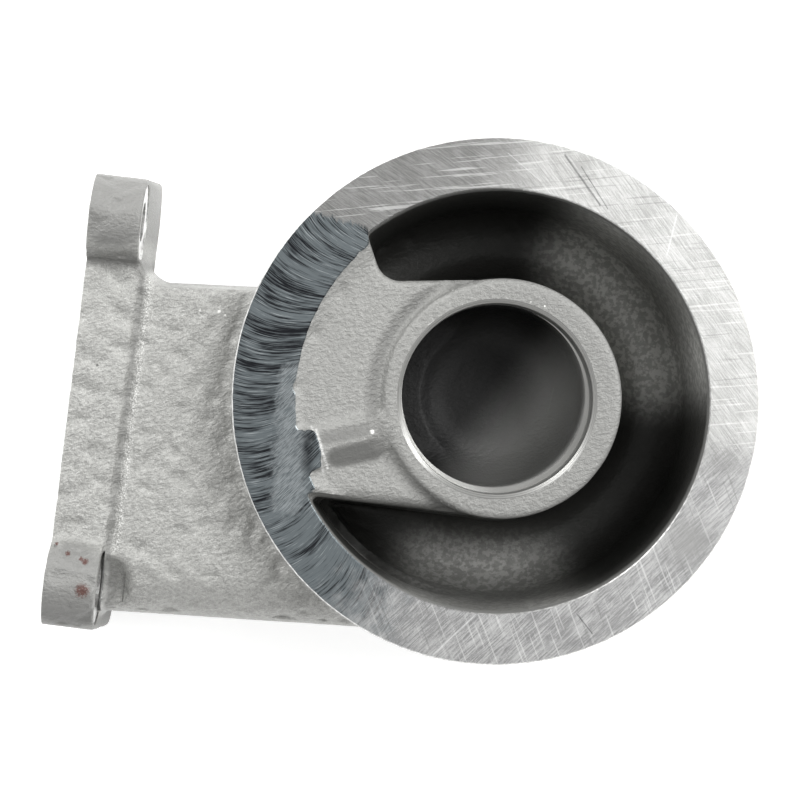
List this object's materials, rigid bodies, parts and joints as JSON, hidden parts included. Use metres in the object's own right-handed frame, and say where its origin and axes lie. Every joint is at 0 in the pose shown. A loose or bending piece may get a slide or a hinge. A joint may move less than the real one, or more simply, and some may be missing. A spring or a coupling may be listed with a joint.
{
  "type": "volute pump casing",
  "caption": "Cast drum-shaped casing with an open annular gallery round a bored hub and a two-port side flange on a short neck.",
  "frame": {"origin": "on the hub bore's axis, at the mouth of the bore's cylindrical wall", "axes": "+Z along the bore, out of its mouth; -X out of the side flange; +Y across the flange, towards its upper lug"},
  "size_m": [0.1453, 0.1159, 0.059],
  "materials": {
    "cast_aluminium": "sand-cast skin, with machined ring face, bore, flange face and spot faces"
  },
  "bodies": {
    "root": {"volute_casing": "cast_aluminium"}
  },
  "joints": []
}
